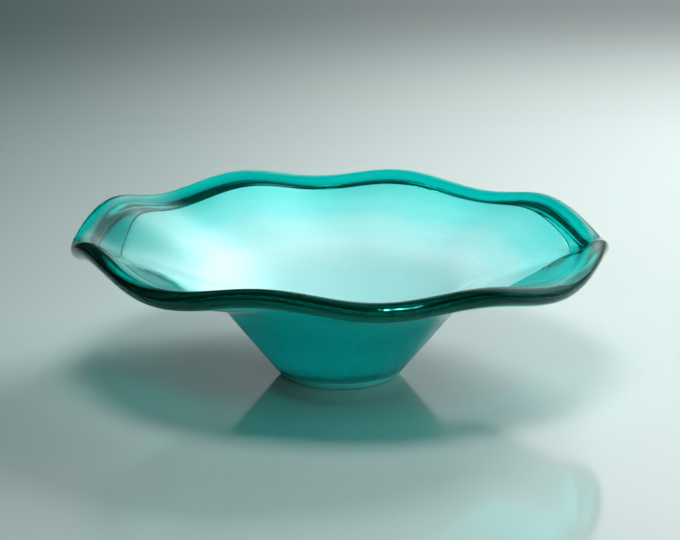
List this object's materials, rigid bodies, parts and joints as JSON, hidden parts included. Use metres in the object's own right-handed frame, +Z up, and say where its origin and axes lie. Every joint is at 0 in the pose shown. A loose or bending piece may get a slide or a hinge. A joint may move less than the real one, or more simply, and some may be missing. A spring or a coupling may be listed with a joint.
{
  "type": "art glass bowl",
  "caption": "Wide shallow cased-glass centrepiece bowl: pale opal lining, transparent teal casing, clear band, heavy rolled wavy lip, conical well and a flat ground foot.",
  "frame": {"origin": "centre of the foot's ground flat, on the surface that the bowl stands on", "axes": "+Z up along the bowl's turning axis, +X to the right and +Y to the back of the bowl as it faces the viewer"},
  "size_m": [0.3811, 0.3785, 0.1125],
  "materials": {
    "opal_glass": "glossy translucent opal glass, pale aqua",
    "teal_glass": "transparent teal glass, fire polished above and softly etched below",
    "lip_glass": "fire-polished dense teal glass",
    "foot_glass": "solid teal glass, ground flat underneath"
  },
  "bodies": {
    "root": {"opal_lining": "opal_glass", "teal_casing": "teal_glass", "lip_wrap": "lip_glass", "foot_pad": "foot_glass"}
  },
  "joints": []
}
